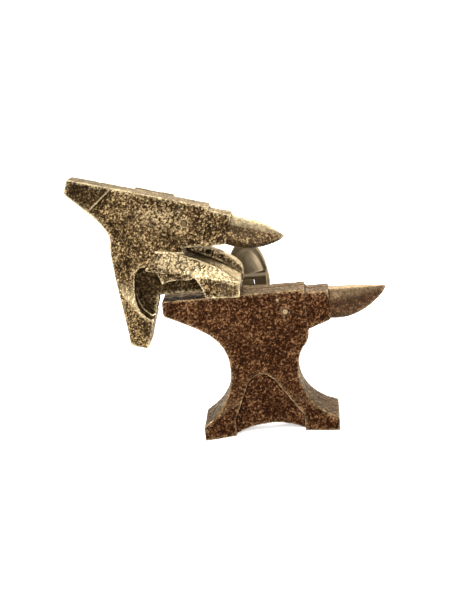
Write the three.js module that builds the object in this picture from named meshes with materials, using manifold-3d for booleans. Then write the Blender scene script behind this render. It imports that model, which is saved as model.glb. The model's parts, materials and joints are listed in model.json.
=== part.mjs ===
// A pair of cast bronze cufflinks in the shape of anvils. One stands on its feet, the other leans on its face.
//
// Each cufflink has its own frame, in millimetres: +X runs along the horn, +Y points to the cufflink back, +Z is up.
// X is 0 at the front end of the anvil's face, Y is 0 in the middle of its width, Z is 0 under its feet.
import * as THREE from "three";
import { mergeVertices } from "three/addons/utils/BufferGeometryUtils.js";
import Module from "manifold-3d";

const wasm = await Module();
wasm.setup();

// ---------------------------------------------------------------- driving dimensions, mm

// Anvil body, as seen from the side.
const HEIGHT = 16.2;
const HEEL_X = -15.9; // end of the overhanging heel
const HEEL_THICK = 1.75;
const HEEL_CORNER = 0.35;
const WAIST_Z = 7.5;
const WAIST_BACK_X = -9.1;
const FRONT_LOW_Z = 11.3; // where the upright front end starts to round in
const FRONT_THROAT = { x: -0.7, z: 9.55 };
const FOOT = { backX: -12.6, frontX: 2.6, height: 1.6 };
const ARCH = { backX: -9.0, frontX: -1.35, rise: 0.8 };

// Anvil body, as seen from its end and from above.
const FACE_HALF = 2.0;
const WAIST_HALF = 1.85;
const FOOT_HALF = 3.3;
const FOOT_INNER_HALF = 2.5; // the feet's outer faces turn inwards towards the middle
const END_ARCH = { half: 1.5, rise: 0.45 };

// Three-sided hollow between the two legs on each side.
const RECESS = { apexX: -5.7, apexZ: 6.8, shoulderZ: 5.9, shoulderHalf: 1.5, half: 1.6, creaseHalf: 1.25 };

// Step, table block and horn.
const TABLE = { length: 2.6, drop: 0.42, half: 1.8, bottomZ: 12.1, rootZ: 11.6 };
const HORN = { tipX: 9.15, radius: 1.8, tipRadius: 0.5, droop: 0.35, overlap: 0.8 };
const DROOPED_HORN = { ...HORN, tipX: 8.9, droop: 1.4 };

// The two castings meet in an upright plane a little behind the middle, and two pegs run through both.
const SEAM_Y = 0.4;
const SEAM_GAP = 0.04;
const PEGS = [
  { x: -2.35, z: 13.85, radius: 0.31 },
  { x: -3.1, z: 15.25, radius: 0.18 },
];
const PEG_GAP = 0.03;
const PEG_DEPTH_Y = 1.5; // the pegs end inside the rear casting

// Legs of the leaning anvil, which are cast askew: seen from the side, in the same frame as the head,
// one leg points down and one points forward, and its forward sole is turned by the lean of the head.
const ASKEW = {
  waist: { x: -9.9, z: 9.7 },
  throat: { x: -2.3, z: 11.0 },
  legs: { x: -0.8, z: 1.0 }, // where the legs' own frame lies in that of the head
  downSole: { backX: -4.75, frontX: -2.8, z: -1.4, facet: 3.6 },
  frontSole: { backX: 2.45, backZ: 5.4, length: 3.75, facet: 1.75 },
  flareTop: 4.6,
  webHalf: 1.9,
  innerWebHalf: 1.1,
  shoulder: { inner: 0.9, outer: 3.0 }, // the higher far side of the forward leg
  hollowHalf: 1.2, // what the hollow leaves standing on each side of the middle
};

// Cufflink back: pad, flat stem, slotted toggle on a pin, and the leaf spring that holds the toggle.
const PAD = { x: -6.8, z: 13.9, radius: 2.2, thick: 0.6, gap: 0.03 };
const STEM = { thick: 1.3, width: 2.2, length: 7.4, foot: 0.7, footHalf: 1.7 };
const PIN = { radius: 0.4, gap: 0.07, headRadius: 0.6, head: 0.2 };
const TOGGLE = { length: 11.6, width: 5.2, rim: 1.3, dome: 0.7, slotHalf: 0.8, slotBack: 1.35 };
const HUB = { half: 2.3, low: -1.5, high: 2.0, thick: 1.5, bevel: 0.3 }; // the thicker block in which the pin sits
const SPRING = { thick: 0.2, width: 1.0, gap: 0.06, length: 4.6 };

// How the leaning cufflink lies, in the frame of the standing one. Its head is tipped back about X,
// and its horn drops about Y. It stands on the front sole at this place on the other one's face.
const LEAN = { tipBack: -5, hornDown: 16.3, soleX: -10.75, soleY: -0.2, gap: 0.05 };
const TOGGLE_TURN = { standing: 0, leaning: -98 }; // degrees from crosswise, about the pin

const CURVE_STEPS = 10;
const TINY = 0.02;

// ---------------------------------------------------------------- colours

const ANTIQUE = { color: 0x6e5030, roughness: 0.5, metalness: 1.0 };
const BRIGHT = { color: 0xb08d57, roughness: 0.25, metalness: 1.0 };
const STEEL = { color: 0x9a978f, roughness: 0.3, metalness: 1.0 };

// ---------------------------------------------------------------- solids from geometry

function solid(geometry) {
  const bare = geometry.clone();
  bare.deleteAttribute("normal");
  bare.deleteAttribute("uv");
  const merged = mergeVertices(bare, 1e-5);
  return new wasm.Manifold(
    new wasm.Mesh({
      numProp: 3,
      vertProperties: Float32Array.from(merged.attributes.position.array),
      triVerts: Uint32Array.from(merged.index.array),
    }),
  );
}

function geometryOf(manifold) {
  const mesh = manifold.getMesh();
  const points = new Float32Array(mesh.numVert * 3);
  for (let i = 0; i < mesh.numVert; i++) {
    points.set(mesh.vertProperties.subarray(i * mesh.numProp, i * mesh.numProp + 3), i * 3);
  }
  const geometry = new THREE.BufferGeometry();
  geometry.setAttribute("position", new THREE.BufferAttribute(points, 3));
  geometry.setIndex(new THREE.BufferAttribute(Uint32Array.from(mesh.triVerts), 1));
  return geometry.toNonIndexed();
}

const EXTRUDE = (depth) => ({ depth, bevelEnabled: false, curveSegments: CURVE_STEPS });

// A side outline in (x, z), solid from yLow to yHigh.
function sideSolid(shape, yLow, yHigh) {
  const geometry = new THREE.ExtrudeGeometry(shape, EXTRUDE(yHigh - yLow));
  geometry.rotateX(Math.PI / 2);
  geometry.translate(0, yHigh, 0);
  return solid(geometry);
}

// An end outline in (y, z), solid from xLow to xHigh.
function endSolid(shape, xLow, xHigh) {
  const geometry = new THREE.ExtrudeGeometry(shape, EXTRUDE(xHigh - xLow));
  const turn = new THREE.Matrix4().makeBasis(
    new THREE.Vector3(0, 1, 0),
    new THREE.Vector3(0, 0, 1),
    new THREE.Vector3(1, 0, 0),
  );
  geometry.applyMatrix4(turn);
  geometry.translate(xLow, 0, 0);
  return solid(geometry);
}

// A plan outline in (x, y), solid from zLow to zHigh.
function planSolid(shape, zLow, zHigh) {
  const geometry = new THREE.ExtrudeGeometry(shape, EXTRUDE(zHigh - zLow));
  geometry.translate(0, 0, zLow);
  return solid(geometry);
}

function box(x0, x1, y0, y1, z0, z1) {
  const geometry = new THREE.BoxGeometry(x1 - x0, y1 - y0, z1 - z0);
  geometry.translate((x0 + x1) / 2, (y0 + y1) / 2, (z0 + z1) / 2);
  return solid(geometry);
}

// A round bar along Y.
function barY(x, z, radius, yLow, yHigh, sides = 24) {
  const geometry = new THREE.CylinderGeometry(radius, radius, yHigh - yLow, sides);
  geometry.translate(x, (yLow + yHigh) / 2, z);
  return solid(geometry);
}

// A round bar along X.
function barX(y, z, radius, xLow, xHigh, sides = 24) {
  const geometry = new THREE.CylinderGeometry(radius, radius, xHigh - xLow, sides);
  geometry.rotateZ(Math.PI / 2);
  geometry.translate((xLow + xHigh) / 2, y, z);
  return solid(geometry);
}

// ---------------------------------------------------------------- anvil

// The top of the side outline, from the front throat over the face and the heel to the back of the waist.
function headPath(shape, throat, waist) {
  const heelZ = HEIGHT - HEEL_THICK;
  shape.moveTo(throat.x, throat.z);
  shape.quadraticCurveTo(0.1, throat.z + 0.75, 0.05, Math.max(FRONT_LOW_Z, throat.z + 1));
  shape.lineTo(0, HEIGHT);
  shape.lineTo(HEEL_X + HEEL_CORNER, HEIGHT);
  shape.quadraticCurveTo(HEEL_X, HEIGHT, HEEL_X, HEIGHT - HEEL_CORNER);
  shape.lineTo(HEEL_X, heelZ + HEEL_CORNER);
  shape.quadraticCurveTo(HEEL_X, heelZ, HEEL_X + HEEL_CORNER, heelZ - HEEL_CORNER / 2);
  shape.bezierCurveTo(-11.3, 12.3, waist.x + 0.1, 11.2, waist.x, waist.z);
}

// The whole side outline of the standing anvil without the horn.
function bodySideShape() {
  const archX = (ARCH.backX + ARCH.frontX) / 2;
  const shape = new THREE.Shape();
  headPath(shape, FRONT_THROAT, { x: WAIST_BACK_X, z: WAIST_Z });
  shape.bezierCurveTo(WAIST_BACK_X, 4.6, -10.6, 3.0, FOOT.backX, FOOT.height);
  shape.lineTo(FOOT.backX, 0);
  shape.lineTo(ARCH.backX, 0);
  shape.quadraticCurveTo(archX, 2 * ARCH.rise, ARCH.frontX, 0);
  shape.lineTo(FOOT.frontX, 0);
  shape.lineTo(FOOT.frontX, FOOT.height);
  shape.bezierCurveTo(-2.2, 3.4, -1.9, 8.0, FRONT_THROAT.x, FRONT_THROAT.z);
  return shape;
}

// The end outline: straight down from the face, then flaring out to the feet, with a low arch below.
function bodyEndShape() {
  const shape = new THREE.Shape();
  shape.moveTo(FACE_HALF, HEIGHT);
  shape.lineTo(-FACE_HALF, HEIGHT);
  shape.lineTo(-FACE_HALF, FRONT_LOW_Z - 1);
  shape.quadraticCurveTo(-WAIST_HALF, 9.4, -WAIST_HALF, 8.6);
  shape.bezierCurveTo(-WAIST_HALF, 5.2, -2.3, 3.4, -FOOT_HALF, FOOT.height);
  shape.lineTo(-FOOT_HALF, 0);
  shape.lineTo(-END_ARCH.half, 0);
  shape.quadraticCurveTo(0, 2 * END_ARCH.rise, END_ARCH.half, 0);
  shape.lineTo(FOOT_HALF, 0);
  shape.lineTo(FOOT_HALF, FOOT.height);
  shape.bezierCurveTo(2.3, 3.4, WAIST_HALF, 5.2, WAIST_HALF, 8.6);
  shape.quadraticCurveTo(WAIST_HALF, 9.4, FACE_HALF, FRONT_LOW_Z - 1);
  shape.lineTo(FACE_HALF, HEIGHT);
  return shape;
}

// The plan outline: full width at the four outer corners, drawn in towards the middle of each side.
function bodyPlanShape() {
  const shape = new THREE.Shape();
  shape.moveTo(HEEL_X - 1, FOOT_HALF);
  shape.lineTo(HEEL_X - 1, -FOOT_HALF);
  shape.lineTo(FOOT.backX, -FOOT_HALF);
  shape.lineTo(ARCH.backX, -FOOT_INNER_HALF);
  shape.lineTo(ARCH.frontX, -FOOT_INNER_HALF);
  shape.lineTo(FOOT.frontX, -FOOT_HALF);
  shape.lineTo(FOOT.frontX + 1, -FOOT_HALF);
  shape.lineTo(FOOT.frontX + 1, FOOT_HALF);
  shape.lineTo(FOOT.frontX, FOOT_HALF);
  shape.lineTo(ARCH.frontX, FOOT_INNER_HALF);
  shape.lineTo(ARCH.backX, FOOT_INNER_HALF);
  shape.lineTo(FOOT.backX, FOOT_HALF);
  return shape;
}

// The hollow between the legs, from the side: a rounded top that spreads down to the feet.
function recessSideShape() {
  const shape = new THREE.Shape();
  shape.moveTo(ARCH.backX, -1);
  shape.lineTo(ARCH.frontX, -1);
  shape.lineTo(ARCH.frontX, FOOT.height + 0.3);
  shape.lineTo(RECESS.apexX + RECESS.shoulderHalf, RECESS.shoulderZ);
  shape.quadraticCurveTo(RECESS.apexX, RECESS.apexZ + 0.9, RECESS.apexX - RECESS.shoulderHalf, RECESS.shoulderZ);
  shape.lineTo(ARCH.backX, FOOT.height + 0.3);
  return shape;
}

// What the hollow leaves standing, in plan: two faces that meet in an upright crease.
function recessCoreShape() {
  const shape = new THREE.Shape();
  const creaseX = RECESS.apexX + 1.2;
  shape.moveTo(ARCH.backX - 1, -RECESS.half);
  shape.lineTo(creaseX, -RECESS.creaseHalf);
  shape.lineTo(ARCH.frontX + 1, -RECESS.half);
  shape.lineTo(ARCH.frontX + 1, RECESS.half);
  shape.lineTo(creaseX, RECESS.creaseHalf);
  shape.lineTo(ARCH.backX - 1, RECESS.half);
  return shape;
}

// The horn: round in section, level on top or drooping, narrowing to a blunt tip.
function hornSolid(horn) {
  const rootX = TABLE.length - horn.overlap;
  const reach = horn.tipX - TABLE.length;
  const radiusAt = (t) => horn.radius * (1 - t * t) + horn.tipRadius * t * Math.sqrt(Math.max(0, 1 - t));
  const profile = [new THREE.Vector2(0, rootX), new THREE.Vector2(horn.radius, rootX)];
  for (let i = 0; i <= CURVE_STEPS; i++) {
    const t = i / CURVE_STEPS;
    profile.push(new THREE.Vector2(i === CURVE_STEPS ? 0 : radiusAt(t), TABLE.length + t * reach));
  }
  const geometry = new THREE.LatheGeometry(profile, 32);
  geometry.rotateZ(-Math.PI / 2);
  const position = geometry.attributes.position;
  for (let i = 0; i < position.count; i++) {
    const t = Math.max(0, (position.getX(i) - TABLE.length) / reach);
    const top = HEIGHT - TABLE.drop - horn.droop * t * t;
    position.setZ(i, position.getZ(i) + top - radiusAt(t));
  }
  return solid(geometry);
}

function tableSolid() {
  const shape = new THREE.Shape();
  shape.moveTo(-1, HEIGHT - TABLE.drop);
  shape.lineTo(-1, TABLE.rootZ);
  shape.lineTo(0.3, TABLE.rootZ);
  shape.lineTo(TABLE.length, TABLE.bottomZ + 0.3);
  shape.lineTo(TABLE.length, HEIGHT - TABLE.drop);
  return sideSolid(shape, -TABLE.half, TABLE.half);
}

function standingAnvil() {
  const deep = FOOT_HALF + 1;
  const body = sideSolid(bodySideShape(), -deep, deep)
    .intersect(endSolid(bodyEndShape(), HEEL_X - 1, FOOT.frontX + 1))
    .intersect(planSolid(bodyPlanShape(), -1, HEIGHT + 1));
  const recess = sideSolid(recessSideShape(), -deep, deep).subtract(
    planSolid(recessCoreShape(), -2, HEIGHT),
  );
  return body.subtract(recess).add(tableSolid()).add(hornSolid(HORN));
}

// ---------------------------------------------------------------- legs of the leaning anvil

// An end outline that is as wide as the feet up to the facet's height and then draws in.
function flareShape(facet, top, waistHalf, bottom) {
  const shape = new THREE.Shape();
  const bend = facet + (top - facet) * 0.35;
  shape.moveTo(FOOT_HALF, bottom);
  shape.lineTo(FOOT_HALF, facet);
  shape.quadraticCurveTo(waistHalf, bend, waistHalf, top);
  shape.lineTo(waistHalf, HEIGHT);
  shape.lineTo(-waistHalf, HEIGHT);
  shape.lineTo(-waistHalf, top);
  shape.quadraticCurveTo(-waistHalf, bend, -FOOT_HALF, facet);
  shape.lineTo(-FOOT_HALF, bottom);
  return shape;
}

// The leg that points down: a long curved back, and an inner edge that rises to the arch.
function downLeg() {
  const { downSole } = ASKEW;
  const backX = -9.1;
  const side = new THREE.Shape();
  side.moveTo(backX, 8.7);
  side.bezierCurveTo(-8.6, 6.6, -7.0, 3.6, downSole.backX - 0.5, downSole.z + 1.1);
  side.quadraticCurveTo(downSole.backX - 0.2, downSole.z + 0.1, downSole.backX, downSole.z);
  side.lineTo(downSole.frontX, downSole.z);
  side.lineTo(downSole.frontX + 0.1, downSole.z + downSole.facet + 1.6);
  side.quadraticCurveTo(-3.2, 5.9, -4.0, 7.8);
  side.lineTo(-4.0, 10.2);
  side.lineTo(backX, 10.2);
  const plan = new THREE.Shape();
  const ridgeX = downSole.backX + 0.55;
  plan.moveTo(-11, -1.3);
  plan.lineTo(ridgeX, -FOOT_HALF);
  plan.lineTo(0, -FOOT_HALF + 0.2);
  plan.lineTo(0, FOOT_HALF - 0.2);
  plan.lineTo(ridgeX, FOOT_HALF);
  plan.lineTo(-11, 1.3);
  const flare = flareShape(downSole.z + downSole.facet, 8.6, WAIST_HALF, downSole.z - 1);
  return sideSolid(side, -FOOT_HALF, FOOT_HALF)
    .intersect(planSolid(plan, downSole.z - 1, HEIGHT))
    .intersect(endSolid(flare, -12, 2));
}

// The leg that points forward, drawn in its own frame: the sole lies at z = 0 and starts at x = 0.
function frontLeg() {
  const { frontSole, flareTop } = ASKEW;
  const side = new THREE.Shape();
  const heelOfSole = -0.15;
  side.moveTo(heelOfSole, 0);
  side.lineTo(frontSole.length, 0);
  side.lineTo(frontSole.length + 0.15, frontSole.facet + 0.1);
  side.bezierCurveTo(1.6, 3.5, -0.4, 4.4, -2.6, 5.2);
  side.lineTo(-5.2, 5.6);
  side.lineTo(-6.6, 3.6);
  side.bezierCurveTo(-4.4, 2.9, -2.4, 3.1, -1.4, 2.6);
  side.quadraticCurveTo(-0.5, 2.0, heelOfSole, 0);
  const plan = new THREE.Shape();
  plan.moveTo(-8, -FOOT_INNER_HALF);
  plan.lineTo(0, -FOOT_INNER_HALF - 0.1);
  plan.lineTo(frontSole.length + 0.2, -FOOT_HALF);
  plan.lineTo(frontSole.length + 0.2, FOOT_HALF);
  plan.lineTo(0, FOOT_INNER_HALF + 0.1);
  plan.lineTo(-8, FOOT_INNER_HALF);
  const flare = flareShape(frontSole.facet, flareTop, WAIST_HALF, -1);
  return sideSolid(side, -FOOT_HALF, FOOT_HALF)
    .intersect(planSolid(plan, -1, HEIGHT))
    .intersect(endSolid(flare, -8, frontSole.length + 1))
    .rotate([0, -LEAN.hornDown, 0])
    .rotate([-LEAN.tipBack, 0, 0])
    .translate([frontSole.backX, 0, frontSole.backZ]);
}

// The thinner web that joins the two legs under the waist, down to the arch between them, and the
// still thinner one behind it, which fills the arch down to the forward sole.
function webSolid() {
  const side = new THREE.Shape();
  side.moveTo(-6.5, 10.2);
  side.lineTo(-6.5, 3.4);
  side.lineTo(-3.4, 4.9);
  side.quadraticCurveTo(-2.4, 6.4, -0.2, 6.6);
  side.lineTo(1.2, 7.2);
  side.lineTo(-1.4, 10.2);
  const inner = new THREE.Shape();
  inner.moveTo(-6.0, 9.0);
  inner.lineTo(-6.0, 2.4);
  inner.lineTo(-3.05, 2.9);
  inner.lineTo(-2.75, 4.35);
  inner.lineTo(2.5, 5.85);
  inner.lineTo(1.4, 7.6);
  return sideSolid(side, -ASKEW.webHalf, ASKEW.webHalf).add(
    sideSolid(inner, -ASKEW.innerWebHalf, ASKEW.innerWebHalf),
  );
}

// The far side of the forward leg stands higher, close under the table and the horn.
function shoulderSolid() {
  const { inner, outer } = ASKEW.shoulder;
  const side = new THREE.Shape();
  side.moveTo(-3.2, 9.0);
  side.lineTo(-2.6, 10.5);
  side.quadraticCurveTo(-0.4, 11.4, 1.2, 11.3);
  side.quadraticCurveTo(3.6, 11.0, 4.7, 10.1);
  side.quadraticCurveTo(5.2, 9.6, 5.2, 8.4);
  side.lineTo(3.4, 8.0);
  side.lineTo(0.6, 8.6);
  return sideSolid(side, inner, outer);
}

// The hollow on each side where the legs part, from the side: rounded at the back, open at the arch.
function hollowSolid() {
  const side = new THREE.Shape();
  side.moveTo(-3.1, 1.9);
  side.quadraticCurveTo(-5.4, 2.6, -5.75, 6.1);
  side.quadraticCurveTo(-5.6, 7.3, -4.6, 7.2);
  side.quadraticCurveTo(-3.2, 6.9, -2.6, 5.4);
  side.lineTo(-1.5, 3.4);
  const deep = FOOT_HALF + 1;
  return sideSolid(side, -deep, deep).subtract(
    box(-9, 9, -ASKEW.hollowHalf, ASKEW.hollowHalf, -9, HEIGHT),
  );
}

function leaningAnvil() {
  const { waist, throat, legs } = ASKEW;
  const side = new THREE.Shape();
  headPath(side, throat, waist);
  side.lineTo(waist.x + 0.5, waist.z - 1.2);
  side.lineTo(throat.x - 1.7, throat.z - 1.8);
  const base = downLeg()
    .add(webSolid())
    .subtract(hollowSolid())
    .add(frontLeg())
    .translate([legs.x, 0, legs.z]);
  return sideSolid(side, -FOOT_HALF, FOOT_HALF)
    .intersect(endSolid(bodyEndShape(), HEEL_X - 1, FOOT.frontX + 1))
    .add(base)
    .add(shoulderSolid())
    .add(tableSolid())
    .add(hornSolid(DROOPED_HORN));
}

// ---------------------------------------------------------------- one cufflink

function piece(name, finish, manifold) {
  const material = new THREE.MeshStandardMaterial(finish);
  const mesh = new THREE.Mesh(geometryOf(manifold), material);
  mesh.name = name;
  return mesh;
}

function castings(prefix, anvil) {
  const far = 40;
  const front = box(-far, far, -far, SEAM_Y - SEAM_GAP / 2, -far, far);
  const rear = box(-far, far, SEAM_Y + SEAM_GAP / 2, far, -far, far);
  let frontCasting = anvil.intersect(front);
  let rearCasting = anvil.intersect(rear);
  for (const peg of PEGS) {
    const hole = barY(peg.x, peg.z, peg.radius + PEG_GAP, -far, PEG_DEPTH_Y + PEG_GAP);
    frontCasting = frontCasting.subtract(hole);
    rearCasting = rearCasting.subtract(hole);
  }
  const pieces = [
    piece(prefix + "_front_casting", ANTIQUE, frontCasting),
    piece(prefix + "_rear_casting", ANTIQUE, rearCasting),
  ];
  PEGS.forEach((peg, i) => {
    const bar = barY(peg.x, peg.z, peg.radius, -FACE_HALF + TINY, PEG_DEPTH_Y);
    pieces.push(piece(prefix + "_peg_" + (i + 1), BRIGHT, bar));
  });
  return pieces;
}

const padTopY = FACE_HALF + PAD.gap + PAD.thick;
const pinY = padTopY + STEM.length;

function padSolid() {
  return barY(PAD.x, PAD.z, PAD.radius, FACE_HALF + PAD.gap, padTopY, 40);
}

// A round foot on the pad and one flat bar with a rounded end and a hole for the pin.
function stemSolid() {
  const from = padTopY + PAD.gap;
  const halfX = STEM.thick / 2;
  const halfZ = STEM.width / 2;
  return barY(PAD.x, PAD.z, STEM.footHalf, from, from + STEM.foot, 32)
    .add(box(PAD.x - halfX, PAD.x + halfX, from, pinY, PAD.z - halfZ, PAD.z + halfZ))
    .add(barX(pinY, PAD.z, halfZ, PAD.x - halfX, PAD.x + halfX))
    .subtract(barX(pinY, PAD.z, PIN.radius + PIN.gap, PAD.x - 5, PAD.x + 5));
}

// The pin runs through the hub and the stem, and has a low head at each end.
function pinSolid() {
  let pin = barX(pinY, PAD.z, PIN.radius, PAD.x - HUB.half, PAD.x + HUB.half);
  for (const side of [-1, 1]) {
    const ends = [PAD.x + side * HUB.half, PAD.x + side * (HUB.half - PIN.head)];
    pin = pin.add(barX(pinY, PAD.z, PIN.headRadius, Math.min(...ends), Math.max(...ends)));
  }
  return pin;
}

// The hub, from its end, with bevelled edges.
function hubSolid() {
  const { half, low, high, thick, bevel } = HUB;
  const shape = new THREE.Shape();
  shape.moveTo(pinY - thick + bevel, PAD.z + low);
  shape.lineTo(pinY + thick - bevel, PAD.z + low);
  shape.lineTo(pinY + thick, PAD.z + low + bevel);
  shape.lineTo(pinY + thick, PAD.z + high - bevel);
  shape.lineTo(pinY + thick - bevel, PAD.z + high);
  shape.lineTo(pinY - thick + bevel, PAD.z + high);
  shape.lineTo(pinY - thick, PAD.z + high - bevel);
  shape.lineTo(pinY - thick, PAD.z + low + bevel);
  return endSolid(shape, PAD.x - half, PAD.x + half);
}

// The toggle, drawn crosswise to the stem: an oval plate with an upright rim, domed on both faces, and a hub.
// Its slot is open at the lower end, and takes the whole stem when the toggle is turned in line with it.
function toggleSolid() {
  const halfLength = TOGGLE.length / 2;
  const halfWidth = TOGGLE.width / 2;
  const plate = new THREE.CylinderGeometry(1, 1, TOGGLE.rim, 56);
  plate.scale(halfWidth, 1, halfLength);
  plate.translate(PAD.x, pinY, PAD.z);
  const dome = new THREE.SphereGeometry(0.97, 56, 16);
  dome.scale(halfWidth, TOGGLE.rim / 2 + TOGGLE.dome, halfLength);
  dome.translate(PAD.x, pinY, PAD.z);
  const far = 20;
  const slotX = [PAD.x - TOGGLE.slotHalf, PAD.x + TOGGLE.slotHalf];
  const slot = box(...slotX, pinY - far, pinY + far, PAD.z - far, PAD.z + TOGGLE.slotBack);
  let toggle = solid(dome)
    .add(solid(plate))
    .add(hubSolid())
    .subtract(slot)
    .subtract(barX(pinY, PAD.z, PIN.radius + PIN.gap, PAD.x - far, PAD.x + far));
  for (const side of [-1, 1]) {
    const ends = [PAD.x + side * (HUB.half - PIN.head - PIN.gap), PAD.x + side * far];
    const sink = barX(pinY, PAD.z, PIN.headRadius + PIN.gap, Math.min(...ends), Math.max(...ends));
    toggle = toggle.subtract(sink);
  }
  return toggle;
}

// A strip that lies on the stem's lower side and ends short of the toggle.
function springSolid() {
  const from = padTopY + PAD.gap + STEM.foot + SPRING.gap;
  const top = PAD.z - STEM.width / 2 - SPRING.gap;
  const half = SPRING.width / 2;
  return box(PAD.x - half, PAD.x + half, from, from + SPRING.length, top - SPRING.thick, top);
}

function cufflink(prefix, anvil) {
  const group = new THREE.Group();
  group.add(...castings(prefix, anvil));
  group.add(piece(prefix + "_pad", BRIGHT, padSolid()));
  group.add(piece(prefix + "_stem", BRIGHT, stemSolid()));
  group.add(piece(prefix + "_hinge_pin", STEEL, pinSolid()));
  group.add(piece(prefix + "_leaf_spring", STEEL, springSolid()));
  const pivot = new THREE.Group();
  pivot.position.set(0, pinY, PAD.z);
  pivot.rotation.x = THREE.MathUtils.degToRad(TOGGLE_TURN[prefix]);
  const toggle = piece(prefix + "_toggle", BRIGHT, toggleSolid().translate([0, -pinY, -PAD.z]));
  pivot.add(toggle);
  group.add(pivot);
  return group;
}

// ---------------------------------------------------------------- the pair

const radians = THREE.MathUtils.degToRad;
const standing = cufflink("standing", standingAnvil());
const leaning = cufflink("leaning", leaningAnvil());
leaning.rotation.set(radians(LEAN.tipBack), radians(LEAN.hornDown), 0, "YXZ");
const sole = new THREE.Vector3(
  ASKEW.frontSole.backX + ASKEW.legs.x,
  0,
  ASKEW.frontSole.backZ + ASKEW.legs.z,
).applyEuler(leaning.rotation);
leaning.position.set(LEAN.soleX - sole.x, LEAN.soleY - sole.y, HEIGHT + LEAN.gap - sole.z);

// The zero point of the whole is the middle of its box, at the height of the standing anvil's feet.
const pair = new THREE.Group();
pair.add(standing, leaning);
pair.updateMatrixWorld(true);
const middle = new THREE.Box3().setFromObject(pair, true).getCenter(new THREE.Vector3());
pair.position.set(-middle.x, -middle.y, 0);

const group = new THREE.Group();
group.add(pair);

export default group;
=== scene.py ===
"""Looks for the pair of anvil cufflinks: cast meshes, bronze materials, floor, light, camera."""

import json
import math

import bpy
import numpy as np
from mathutils import Matrix, Vector

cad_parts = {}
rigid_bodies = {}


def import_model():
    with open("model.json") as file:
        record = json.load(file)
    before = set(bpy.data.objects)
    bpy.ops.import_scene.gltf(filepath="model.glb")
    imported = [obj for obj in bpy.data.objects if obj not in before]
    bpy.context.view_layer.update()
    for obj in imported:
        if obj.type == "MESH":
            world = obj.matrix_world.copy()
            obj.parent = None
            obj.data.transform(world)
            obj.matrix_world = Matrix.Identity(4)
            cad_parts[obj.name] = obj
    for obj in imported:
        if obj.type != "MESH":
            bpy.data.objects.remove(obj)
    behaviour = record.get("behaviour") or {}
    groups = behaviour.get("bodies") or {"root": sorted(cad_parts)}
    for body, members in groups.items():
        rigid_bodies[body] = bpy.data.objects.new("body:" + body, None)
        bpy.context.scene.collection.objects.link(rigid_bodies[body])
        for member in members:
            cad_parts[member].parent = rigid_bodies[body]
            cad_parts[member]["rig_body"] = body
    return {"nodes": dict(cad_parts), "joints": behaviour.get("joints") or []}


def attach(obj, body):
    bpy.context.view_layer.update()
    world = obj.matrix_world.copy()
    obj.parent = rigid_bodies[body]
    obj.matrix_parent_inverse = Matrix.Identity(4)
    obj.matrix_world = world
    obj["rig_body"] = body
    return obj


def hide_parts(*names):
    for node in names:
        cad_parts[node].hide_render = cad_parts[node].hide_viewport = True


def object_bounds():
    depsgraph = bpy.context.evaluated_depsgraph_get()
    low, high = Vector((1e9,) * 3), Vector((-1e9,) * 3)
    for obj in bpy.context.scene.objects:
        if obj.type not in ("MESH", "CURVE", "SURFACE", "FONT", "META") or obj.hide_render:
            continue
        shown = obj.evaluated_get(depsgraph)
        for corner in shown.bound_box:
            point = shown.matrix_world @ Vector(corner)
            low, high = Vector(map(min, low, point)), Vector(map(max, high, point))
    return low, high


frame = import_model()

MM = 0.001
cad_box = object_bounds()
joints = {j["name"]: j for j in frame["joints"]}

# Places in each cufflink's own frame, mm: x along the horn, y to the cufflink back, z up.
PIN_LOCAL = np.array([-6.8, 10.03, 13.9])  # middle of the hinge pin
TABLE_END_X = 2.6  # where the horn begins
SEAM_Y = 0.4  # the flat joint between the two castings
# Noise is laid on axes turned away from the casting's own, so that no row of grains follows
# an edge.
SPIN = np.array(
    Matrix.Rotation(0.61, 3, "X") @ Matrix.Rotation(0.83, 3, "Z") @ Matrix.Rotation(0.47, 3, "Y")
)

# The cut over the leaning anvil's heel: a point on it and the direction across it.
HEEL_CUT_AT = np.array([-11.6, -2.0, 14.7])
HEEL_CUT_ACROSS = np.array([0.821, 0.0, -0.571])

# The leaning cufflink's horn drops, and its head is tipped back.
HORN_DOWN, TIP_BACK = math.radians(16.3), math.radians(-5.0)


def own_frame(joint, rotation):
    """Rotation (columns x, y, z) and zero point, mm, of a cufflink's own frame."""
    turn = np.array(rotation)
    return turn, np.array(joints[joint]["pos_m"]) / MM - turn @ PIN_LOCAL


FRAMES = {
    "standing": own_frame("standing_toggle_turn", np.eye(3)),
    "leaning": own_frame(
        "leaning_toggle_turn",
        Matrix.Rotation(HORN_DOWN, 3, "Y") @ Matrix.Rotation(TIP_BACK, 3, "X"),
    ),
}


# ---------------------------------------------------------------- noise and mesh tools, mm


def hash01(i, j, k, seed):
    """A repeatable random number from 0 to 1 for each whole-number point."""
    n = (
        i.astype(np.uint32) * np.uint32(374761393)
        + j.astype(np.uint32) * np.uint32(668265263)
        + k.astype(np.uint32) * np.uint32(2147483647)
        + np.uint32(seed * 974711 + 12345)
    )
    n = (n ^ (n >> np.uint32(13))) * np.uint32(1274126177)
    n = (n ^ (n >> np.uint32(15))) * np.uint32(2246822519)
    n = n ^ (n >> np.uint32(16))
    return n.astype(np.float64) / 4294967295.0


def value_noise(p, size, seed):
    """Smooth noise from -1 to 1 whose bumps are about size mm wide."""
    q = p / size + 1000.0
    low = np.floor(q).astype(np.int64)
    t = q - low
    t = t * t * (3 - 2 * t)
    total = np.zeros(len(p))
    for dx in (0, 1):
        for dy in (0, 1):
            for dz in (0, 1):
                weight = (
                    (t[:, 0] if dx else 1 - t[:, 0])
                    * (t[:, 1] if dy else 1 - t[:, 1])
                    * (t[:, 2] if dz else 1 - t[:, 2])
                )
                total += weight * hash01(low[:, 0] + dx, low[:, 1] + dy, low[:, 2] + dz, seed)
    return total * 2 - 1


def smoothstep(low, high, v):
    t = np.clip((v - low) / (high - low), 0, 1)
    return t * t * (3 - 2 * t)


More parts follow.
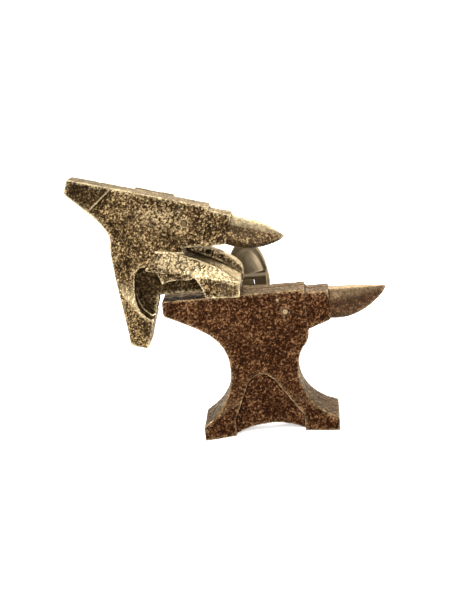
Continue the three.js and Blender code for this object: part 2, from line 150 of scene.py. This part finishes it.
def points_of(mesh):
    co = np.empty(len(mesh.vertices) * 3, np.float32)
    mesh.vertices.foreach_get("co", co)
    return co.reshape(-1, 3).astype(float)


def set_points(mesh, co):
    mesh.vertices.foreach_set("co", co.astype(np.float32).ravel())
    mesh.update()


def normals_of(mesh):
    out = np.empty(len(mesh.vertices) * 3, np.float32)
    mesh.vertex_normals.foreach_get("vector", out)
    return out.reshape(-1, 3).astype(float)


def neighbours(mesh):
    pairs = np.empty(len(mesh.edges) * 2, np.int64)
    mesh.edges.foreach_get("vertices", pairs)
    pairs = pairs.reshape(-1, 2)
    a = np.concatenate([pairs[:, 0], pairs[:, 1]])
    b = np.concatenate([pairs[:, 1], pairs[:, 0]])
    count = np.bincount(a, minlength=len(mesh.vertices)).clip(1)
    return a, b, count


def smoothed(values, links, rounds):
    """Each row moved halfway to the mean of its neighbours, a number of times."""
    a, b, count = links
    out = values.copy()
    for _ in range(rounds):
        mean = np.stack(
            [np.bincount(a, out[b, i], len(count)) / count for i in range(out.shape[1])], 1
        )
        out = 0.5 * out + 0.5 * mean
    return out


def remeshed(node, voxel):
    """A copy of a CAD node's mesh in mm, rebuilt as an even fine grid of faces."""
    source = frame["nodes"][node]
    mesh = source.data.copy()
    mesh.transform(Matrix.Scale(1 / MM, 4))
    temporary = bpy.data.objects.new("temporary", mesh)
    bpy.context.scene.collection.objects.link(temporary)
    modifier = temporary.modifiers.new("even", "REMESH")
    modifier.mode = "VOXEL"
    modifier.voxel_size = voxel
    dg = bpy.context.evaluated_depsgraph_get()
    made = bpy.data.meshes.new_from_object(temporary.evaluated_get(dg))
    bpy.data.objects.remove(temporary)
    made.materials.clear()
    return made


def keep(mesh, name, values):
    """Stores one number per vertex for the material to read."""
    attribute = mesh.attributes.new(name, "FLOAT", "POINT")
    attribute.data.foreach_set("value", np.asarray(values, np.float32))


def place(mesh, node, material):
    """Makes the piece that stands for a CAD node, shaded smooth, riding on the node's body."""
    mesh.transform(Matrix.Scale(MM, 4))
    mesh.shade_smooth()
    piece = bpy.data.objects.new(node + "_detail", mesh)
    bpy.context.scene.collection.objects.link(piece)
    mesh.materials.append(material)
    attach(piece, frame["nodes"][node]["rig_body"])
    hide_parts(node)
    return piece


# ---------------------------------------------------------------- materials


def new_material(name):
    material = bpy.data.materials.new(name)
    material.use_nodes = True
    tree = material.node_tree
    tree.nodes.clear()
    out = tree.nodes.new("ShaderNodeOutputMaterial")
    shader = tree.nodes.new("ShaderNodeBsdfPrincipled")
    tree.links.new(shader.outputs[0], out.inputs[0])
    coords = tree.nodes.new("ShaderNodeTexCoord")
    scale = tree.nodes.new("ShaderNodeVectorMath")
    scale.operation = "SCALE"
    scale.inputs["Scale"].default_value = 1 / MM
    tree.links.new(coords.outputs["Object"], scale.inputs[0])
    return material, tree, shader, scale.outputs[0]


def noise(tree, vector, scale, detail=2.0, roughness=0.55):
    node = tree.nodes.new("ShaderNodeTexNoise")
    node.inputs["Scale"].default_value = scale
    node.inputs["Detail"].default_value = detail
    node.inputs["Roughness"].default_value = roughness
    tree.links.new(vector, node.inputs["Vector"])
    return node.outputs["Fac"]


def ramp(tree, source, stops):
    node = tree.nodes.new("ShaderNodeValToRGB")
    elements = node.color_ramp.elements
    while len(elements) < len(stops):
        elements.new(0.5)
    for element, (place_at, colour) in zip(elements, stops):
        element.position = place_at
        element.color = (*colour, 1.0)
    tree.links.new(source, node.inputs[0])
    return node.outputs[0]


def mix(tree, factor, a, b):
    node = tree.nodes.new("ShaderNodeMix")
    node.data_type = "RGBA"
    for socket, value in ((node.inputs[0], factor), (node.inputs[6], a), (node.inputs[7], b)):
        if isinstance(value, bpy.types.NodeSocket):
            tree.links.new(value, socket)
        elif isinstance(value, tuple):
            socket.default_value = (*value, 1.0)
        else:
            socket.default_value = value
    return node.outputs[2]


def math_node(tree, operation, a, b=None, clamp=False):
    node = tree.nodes.new("ShaderNodeMath")
    node.operation = operation
    node.use_clamp = clamp
    for i, value in enumerate((a, b)):
        if value is None:
            continue
        if isinstance(value, (int, float)):
            node.inputs[i].default_value = value
        else:
            tree.links.new(value, node.inputs[i])
    return node.outputs[0]


def remap(tree, source, low, high, to_low, to_high):
    node = tree.nodes.new("ShaderNodeMapRange")
    for name, value in (
        ("From Min", low), ("From Max", high), ("To Min", to_low), ("To Max", to_high),
    ):
        node.inputs[name].default_value = value
    tree.links.new(source, node.inputs["Value"])
    return node.outputs["Result"]


def attribute(tree, name):
    node = tree.nodes.new("ShaderNodeAttribute")
    node.attribute_name = name
    return node.outputs["Fac"]


def toned(colour, factor):
    """A colour made darker or lighter."""
    return tuple(min(1.0, factor * c) for c in colour)


def add_bump(tree, shader, height, distance, strength):
    node = tree.nodes.new("ShaderNodeBump")
    node.inputs["Distance"].default_value = distance
    node.inputs["Strength"].default_value = strength
    tree.links.new(height, node.inputs["Height"])
    tree.links.new(node.outputs[0], shader.inputs["Normal"])


def antique(name, recess, body, net, gleam, rim, smooth_tone):
    """Oxidised cast bronze: dark pits, a lighter net between them, bare metal on worn edges; that
    colour is also painted as highlight, and painted shade takes the pit colour.
    """
    material, tree, shader, vector = new_material(name)
    grain = attribute(tree, "grain")
    wear_and_highlight = attribute(tree, "wear_and_highlight")
    pitted = attribute(tree, "pitted")
    fine = noise(tree, vector, 7.5, 2.0, 0.6)
    broad = noise(tree, vector, 0.45, 2.0, 0.5)
    level = math_node(tree, "ADD", grain, remap(tree, fine, 0.3, 0.7, -0.34, 0.34))
    level = math_node(tree, "ADD", level, remap(tree, broad, 0.3, 0.7, -0.10, 0.10), clamp=True)
    rough_side = ramp(
        tree, level, [(0.0, recess), (0.30, recess), (0.48, body), (0.70, net), (1.0, gleam)]
    )
    cloud = noise(tree, vector, 0.9, 3.0, 0.6)
    stain = ramp(
        tree, math_node(tree, "ADD", cloud, remap(tree, fine, 0.3, 0.7, -0.1, 0.1)),
        [(0.25, toned(smooth_tone, 0.45)), (0.5, smooth_tone), (0.8, toned(smooth_tone, 1.5))],
    )
    base = mix(tree, pitted, stain, rough_side)
    # The rim colour shows bare metal on worn edges, and painted highlight where light falls.
    wear_and_highlight_fac = math_node(tree, "MULTIPLY", wear_and_highlight, remap(tree, fine, 0.35, 0.6, 0.45, 1.0), clamp=True)
    # The dark attribute pulls towards the recess colour: dark joints, oxide in creases, and painted
    # shade.
    base = mix(tree, attribute(tree, "dark"), base, recess)
    colour = mix(tree, wear_and_highlight_fac, base, rim)
    tree.links.new(colour, shader.inputs["Base Color"])
    metal = math_node(tree, "MAXIMUM", remap(tree, level, 0.2, 0.6, 0.95, 1.0), wear_and_highlight_fac)
    tree.links.new(metal, shader.inputs["Metallic"])
    shader.inputs["Specular Tint"].default_value = (0.95, 0.86, 0.72, 1.0)
    rough = math_node(
        tree, "SUBTRACT",
        remap(tree, level, 0.3, 0.9, 0.62, 0.36), math_node(tree, "MULTIPLY", wear_and_highlight_fac, 0.12),
    )
    smooth_rough = remap(tree, fine, 0.3, 0.7, 0.30, 0.42)
    blend = tree.nodes.new("ShaderNodeMix")
    tree.links.new(pitted, blend.inputs[0])
    tree.links.new(smooth_rough, blend.inputs[2])
    tree.links.new(rough, blend.inputs[3])
    tree.links.new(blend.outputs[0], shader.inputs["Roughness"])
    add_bump(tree, shader, noise(tree, vector, 9.0, 3.0, 0.6), 0.03 * MM, 0.6)
    return material


def polished(name, colour, dark, roughness):
    """Smooth metal with fine scratches, a slight cloud of colour and dark dirt in the corners."""
    material, tree, shader, vector = new_material(name)
    wear_and_highlight = attribute(tree, "wear_and_highlight")
    dirt = attribute(tree, "dirt")
    cloud = noise(tree, vector, 0.6, 3.0, 0.6)
    base = mix(tree, remap(tree, cloud, 0.3, 0.7, 0.0, 0.45), colour, dark)
    base = mix(tree, math_node(tree, "MULTIPLY", wear_and_highlight, 0.7), base, toned(colour, 1.35))
    base = mix(tree, dirt, base, toned(dark, 0.18))
    tree.links.new(base, shader.inputs["Base Color"])
    shader.inputs["Metallic"].default_value = 1.0
    shader.inputs["Specular Tint"].default_value = (0.8, 0.7, 0.55, 1.0)
    stretch = tree.nodes.new("ShaderNodeMapping")
    stretch.inputs["Scale"].default_value = (1.5, 14.0, 14.0)
    tree.links.new(vector, stretch.inputs["Vector"])
    scratches = noise(tree, stretch.outputs[0], 1.6, 4.0, 0.7)
    rough = math_node(
        tree, "ADD",
        remap(tree, scratches, 0.3, 0.7, roughness - 0.05, roughness + 0.09),
        math_node(tree, "MULTIPLY", dirt, 0.3),
    )
    tree.links.new(rough, shader.inputs["Roughness"])
    add_bump(tree, shader, scratches, 0.006 * MM, 0.5)
    return material


# Both cufflinks are the same bronze: the standing one's colours are painted darker as shaded, the
# leaning one's lighter as lit, with a brighter painted highlight.
ANTIQUE = {
    "standing": antique(
        "antique_painted_shaded", (0.0125, 0.004, 0.0013), (0.032, 0.011, 0.004), (0.062, 0.027, 0.0115),
        (0.17, 0.090, 0.042), (0.42, 0.29, 0.155), (0.060, 0.040, 0.024),
    ),
    "leaning": antique(
        "antique_painted_lit", (0.0120, 0.0065, 0.0024), (0.041, 0.024, 0.010), (0.112, 0.071, 0.031),
        (0.42, 0.30, 0.15), (0.90, 0.72, 0.42), (0.085, 0.056, 0.032),
    ),
}
BRONZE = polished("polished_bronze", (0.20, 0.158, 0.100), (0.15, 0.115, 0.070), 0.36)
# The pegs are the same bronze: the standing one's are painted lighter as lit, the leaning one's
# darker as shaded.
PEG_BRONZE = {
    "standing": polished("peg_bronze_painted_lit", (0.27, 0.185, 0.105), (0.15, 0.10, 0.055), 0.36),
    "leaning": polished("peg_bronze_painted_shaded", (0.13, 0.085, 0.040), (0.07, 0.043, 0.018), 0.40),
}
STEEL = polished("spring_steel", (0.42, 0.40, 0.36), (0.30, 0.27, 0.23), 0.24)


# ---------------------------------------------------------------- castings

CASTING_VOXEL = 0.065  # size of the even grid, mm
EDGE_ROUNDS, BEND_ROUNDS = 14, 40  # rounds of smoothing that round the edges, and that find them
PIT_DEPTH, SEAM_DEPTH, HEEL_CUT_DEPTH, WAVE = 0.075, 0.09, 0.10, 0.02  # mm
UPWARD_RUB_AND_HIGHLIGHT = {"standing": 0.40, "leaning": 0.95}  # how far the upper planes are rubbed and brightened by painted highlight, more on the leaning one that faces the light


def band(v, near, far):
    """1 where v is within near of 0, falling to 0 at far."""
    return 1 - smoothstep(near, far, np.abs(v))


def spot(own, x, z, wide, high):
    """A soft oval patch around a point of the side view."""
    return np.exp(-(((own[:, 0] - x) / wide) ** 2) - ((own[:, 2] - z) / high) ** 2)


def leaning_cut_shade_and_highlight(own, own_normal, speck):
    """The leaning anvil's heel cut, where it is darker (mostly painted shade) and where painted
    highlight makes it bright, each from 0 to 1.
    """
    x, y, z = own.T
    side = np.abs(own_normal[:, 1])
    past_cut = (own - HEEL_CUT_AT) @ HEEL_CUT_ACROSS
    on_heel = smoothstep(12.8, 13.3, z)
    cut = band(past_cut, 0.05, 0.16) * smoothstep(0.5, 0.8, -own_normal[:, 1]) * on_heel
    # It is darker on the heel behind the cut, and painted shade darkens the web deep between
    #     the legs, the corner under the face and the cut itself.
    heel = smoothstep(2.0, -2.0, past_cut)
    web = smoothstep(2.05, 1.6, np.abs(y)) * smoothstep(9.0, 8.0, z) * side
    corner = spot(own, -3.3, 11.9, 1.9, 0.7) * side
    dark = np.max([0.62 * heel, 0.80 * web, 0.55 * corner, 0.95 * cut], axis=0)
    # Painted highlight, in the colour of bare metal, lies on the upper plane of the forward leg,
    #     faintly on the body's middle, and on the upper lip of the cut.
    leg = smoothstep(8.0, 8.9, z) * smoothstep(10.7, 10.0, z)
    leg *= smoothstep(-5.4, -3.6, x) * smoothstep(0.0, -1.0, y)
    middle = spot(own, -5.0, 14.0, 2.6, 1.1) * side
    lip = band(past_cut + 0.2, 0.04, 0.12) * on_heel * side
    painted_highlight = np.max([0.52 * leg * (0.15 + 0.85 * speck), 0.22 * middle * speck, 0.30 * lip], axis=0)
    return cut, dark, painted_highlight


def casting(prefix, part):
    """A casting with rounded edges, a pitted skin, bare metal where it is worn, and painted
    highlight and painted shade where light and shade fall.
    """
    node = prefix + "_" + part
    rotation, zero = FRAMES[prefix]
    mesh = remeshed(node, CASTING_VOXEL)
    links = neighbours(mesh)
    co = smoothed(points_of(mesh), links, EDGE_ROUNDS)
    set_points(mesh, co)
    normal = normals_of(mesh)
    bend = ((co - smoothed(co, links, BEND_ROUNDS)) * normal).sum(1)
    own = (co - zero) @ rotation
    own_normal = smoothed(normal @ rotation, links, 3)
    side, up = np.abs(own_normal[:, 1]), own_normal[:, 2]

    # The skin is roughest on the sides and smoothest on top of the horn.
    on_horn = smoothstep(TABLE_END_X - 0.2, TABLE_END_X + 0.2, own[:, 0])
    pitted = 0.60 + 0.40 * smoothstep(0.30, 0.60, side)
    pitted = pitted * (1 - on_horn * (0.35 + 0.45 * smoothstep(0.15, 0.75, up)))
    pitted = smoothed(pitted[:, None], links, 2)[:, 0]
    grains = value_noise(own @ SPIN, 0.19, 7) + value_noise(own @ SPIN, 0.125, 11)
    level = np.clip(0.52 + 0.08 * value_noise(own, 0.9, 3) + 0.34 * grains, 0, 1)
    speck = smoothstep(0.38, 0.62, level)

    # Everything is cut inwards, so that the casting stays within its solid. The flat joint
    # between the castings stays straight, and a dark groove is left along it.
    from_seam = own[:, 1] - SEAM_Y
    off_joint = 1 - band(from_seam, 0.05, 0.25)
    seam = band(from_seam, 0.03, 0.14) * (1 - smoothstep(0.4, 0.7, side))
    skin = -PIT_DEPTH * (1 - smoothstep(0.25, 0.62, level)) * pitted
    skin += WAVE * (value_noise(own, 1.4, 21) - 1) - 0.012 * (1 - level) * (1 - pitted)
    depth = skin * off_joint - SEAM_DEPTH * seam
    crease = smoothstep(0.020, 0.080, -bend)
    dark = np.maximum(seam, 0.6 * crease)
    # Painted highlight patches, none on the standing anvil; the leaning anvil also gets painted
    # shade in its dark attribute.
    painted_highlight = np.zeros(len(co))
    if prefix == "leaning":
        cut, dark_heel_and_painted_shade, painted_highlight = leaning_cut_shade_and_highlight(own, own_normal, speck)
        depth -= HEEL_CUT_DEPTH * cut
        dark = np.maximum(dark, dark_heel_and_painted_shade)
    set_points(mesh, co + normal * depth[:, None])

    # Edges are worn bare, but not evenly.
    edge = smoothstep(0.016, 0.070, bend)
    edge *= 0.45 + 0.55 * smoothstep(-0.5, 0.3, value_noise(own, 0.8, 31))
    edge *= 0.60 + 0.40 * smoothstep(0.3, 0.6, level)
    # Grains within about half a millimetre of an edge are brighter too.
    halo = np.clip(3.0 * smoothed(edge[:, None], links, BEND_ROUNDS)[:, 0], 0, 1) * speck * pitted
    # Side planes that face up a little, and the top of the horn, are rubbed, and painted highlight
    #     makes them brighter as they face the light from above.
    upward_rub_and_highlight = UPWARD_RUB_AND_HIGHLIGHT[prefix] * side * smoothstep(0.15, 0.50, up) * (1 - on_horn)
    upward_rub_and_highlight += (0.20 + 0.8 * UPWARD_RUB_AND_HIGHLIGHT[prefix]) * on_horn * smoothstep(0.30, 0.85, up)
    upward_rub_and_highlight *= 0.5 + 0.5 * smoothstep(-0.3, 0.5, value_noise(own, 0.24, 37))
    # Real wear on edges and nearby grains, plus painted highlight on upward planes and on the
    # leaning anvil's patches.
    wear_and_highlight = np.max([0.85 * edge, 0.45 * halo, upward_rub_and_highlight, painted_highlight], axis=0)

    keep(mesh, "wear_and_highlight", wear_and_highlight * off_joint * (1 - seam))
    keep(mesh, "pitted", pitted)
    keep(mesh, "grain", np.clip(level - 0.35 * crease, 0, 1))
    keep(mesh, "dark", dark)
    return place(mesh, node, ANTIQUE[prefix])


def fitting(node, voxel, rounds, material):
    """A small polished part with rounded edges."""
    mesh = remeshed(node, voxel)
    links = neighbours(mesh)
    co = smoothed(points_of(mesh), links, rounds)
    set_points(mesh, co)
    normal = normals_of(mesh)
    bend = ((co - smoothed(co, links, 12)) * normal).sum(1)
    keep(mesh, "wear_and_highlight", smoothstep(0.006, 0.025, bend))
    keep(mesh, "dirt", smoothstep(0.006, 0.030, -bend) * 0.85)
    dents = 0.006 * value_noise(co, 0.9, 41) - 0.006
    set_points(mesh, co + normal * dents[:, None])
    return place(mesh, node, material)


for prefix in ("standing", "leaning"):
    for part in ("front_casting", "rear_casting"):
        casting(prefix, part)
    for part, voxel, rounds in (("toggle", 0.06, 6), ("stem", 0.05, 4), ("pad", 0.05, 4)):
        fitting(prefix + "_" + part, voxel, rounds, BRONZE)
    for part in ("peg_1", "peg_2"):
        fitting(prefix + "_" + part, 0.03, 3, PEG_BRONZE[prefix])
    fitting(prefix + "_hinge_pin", 0.035, 3, STEEL)
    fitting(prefix + "_leaf_spring", 0.03, 2, STEEL)


# ---------------------------------------------------------------- floor, light, camera


def floor_material():
    material, tree, shader, vector = new_material("pale_floor")
    cloud = noise(tree, vector, 0.02, 2.0, 0.5)
    tone = ramp(tree, cloud, [(0.3, (0.88, 0.88, 0.88)), (0.7, (0.91, 0.91, 0.91))])
    tree.links.new(tone, shader.inputs["Base Color"])
    shader.inputs["Roughness"].default_value = 0.7
    shader.inputs["Specular IOR Level"].default_value = 0.2
    shader.inputs["Emission Color"].default_value = (1.0, 1.0, 1.0, 1.0)
    shader.inputs["Emission Strength"].default_value = 0.5
    return material


floor_mesh = bpy.data.meshes.new("floor")
steps = 24
curve = 0.35  # radius of the rise from the floor to the back, m
front, back, rise, half = -0.6, 0.55, 0.9, 1.2
outline = [(front, 0.0), (back, 0.0)]
outline += [
    (back + curve * math.sin(a), curve - curve * math.cos(a))
    for a in (math.pi / 2 * (i + 1) / steps for i in range(steps))
]
outline.append((back + curve, rise))
corners = [(x, y, z) for y, z in outline for x in (-half, half)]
faces = [(2 * i, 2 * i + 1, 2 * i + 3, 2 * i + 2) for i in range(len(outline) - 1)]
floor_mesh.from_pydata(corners, [], faces)
floor_mesh.shade_smooth()
floor_mesh.materials.append(floor_material())
floor = bpy.data.objects.new("floor", floor_mesh)
bpy.context.scene.collection.objects.link(floor)

world = bpy.data.worlds.new("studio")
world.use_nodes = True
world.node_tree.nodes["Background"].inputs[0].default_value = (1.0, 1.0, 1.0, 1.0)
world.node_tree.nodes["Background"].inputs[1].default_value = 1.0
bpy.context.scene.world = world
bpy.context.scene.view_settings.view_transform = "Standard"


def area_light(name, place_at, aim, size, power, colour=(1.0, 1.0, 1.0)):
    data = bpy.data.lights.new(name, "AREA")
    data.shape = "DISK"
    data.size = size
    data.energy = power
    data.color = colour
    lamp = bpy.data.objects.new(name, data)
    bpy.context.scene.collection.objects.link(lamp)
    lamp.location = place_at
    lamp.rotation_mode = "QUATERNION"
    lamp.rotation_quaternion = (Vector(aim) - Vector(place_at)).to_track_quat("-Z", "Y")


middle = (cad_box[0] + cad_box[1]) / 2
area_light("key", (-0.16, -0.20, 0.30), middle, 0.16, 1.9, (1.0, 0.97, 0.92))
area_light("fill", (0.26, -0.22, 0.12), middle, 0.20, 0.55, (1.0, 0.96, 0.93))
area_light("back", (0.05, 0.28, 0.28), middle, 0.20, 0.9)

# The camera stands a little right of the front and looks down, rolled so that the face climbs.
AZIMUTH, ELEVATION, ROLL = math.radians(3.0), math.radians(17.0), math.radians(5.7)
DISTANCE = 170.0  # mm
SENSOR, LENS = 36.0, 90.576  # mm
LOOK_AT = np.array([-4.5, 0.0, 8.0])  # in the standing cufflink's own frame, mm
AIM_RIGHT, AIM_UP = -5.1993, 6.6149  # how far beside that point the camera aims, mm

forward = np.array([
    -math.sin(AZIMUTH) * math.cos(ELEVATION),
    math.cos(AZIMUTH) * math.cos(ELEVATION),
    -math.sin(ELEVATION),
])
level_right = np.cross(forward, (0, 0, 1))
level_right /= np.linalg.norm(level_right)
level_up = np.cross(level_right, forward)
right = level_right * math.cos(ROLL) - level_up * math.sin(ROLL)
up = level_right * math.sin(ROLL) + level_up * math.cos(ROLL)
look = FRAMES["standing"][0] @ LOOK_AT + FRAMES["standing"][1]
camera_at = look - forward * DISTANCE
aim = forward + right * AIM_RIGHT / DISTANCE + up * AIM_UP / DISTANCE
aim /= np.linalg.norm(aim)
aim_up = up - aim * (up @ aim)
aim_up /= np.linalg.norm(aim_up)
aim_right = np.cross(aim, aim_up)

camera_data = bpy.data.cameras.new("camera")
camera_data.sensor_width = SENSOR
camera_data.lens = LENS
camera_data.clip_start = 0.01
camera_data.clip_end = 10.0
camera = bpy.data.objects.new("camera", camera_data)
bpy.context.scene.collection.objects.link(camera)
camera.matrix_world = Matrix([
    [aim_right[i], aim_up[i], -aim[i], camera_at[i] * MM] for i in range(3)
] + [[0, 0, 0, 1]])
bpy.context.scene.camera = camera

bpy.context.view_layer.update()
